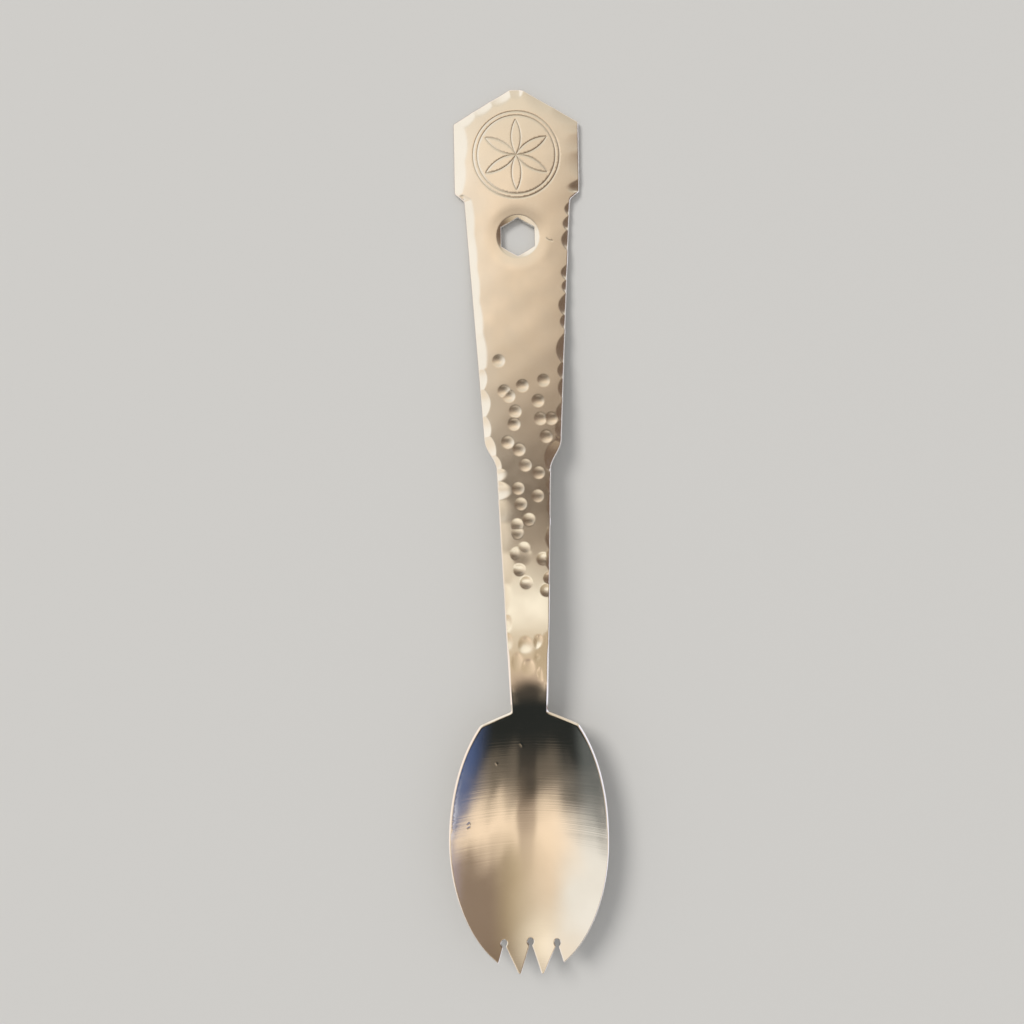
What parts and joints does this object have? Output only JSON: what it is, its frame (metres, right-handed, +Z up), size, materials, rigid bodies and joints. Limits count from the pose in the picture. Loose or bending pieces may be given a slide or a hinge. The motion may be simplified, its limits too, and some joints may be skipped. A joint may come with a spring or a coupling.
{
  "type": "spork",
  "caption": "One-piece metal spork with a dished bowl, short tines, a hammered handle and a hexagon hole near the pointed end.",
  "frame": {"origin": "centre of the footprint on the plane that the part rests on", "axes": "+Y along the handle from the tines to the head, +Z up out of the bowl, +X across"},
  "size_m": [0.0378, 0.2117, 0.01],
  "materials": {
    "metal": "satin, hammered edges, fine brushing across the bowl"
  },
  "bodies": {
    "root": {"spork": "metal"}
  },
  "joints": []
}
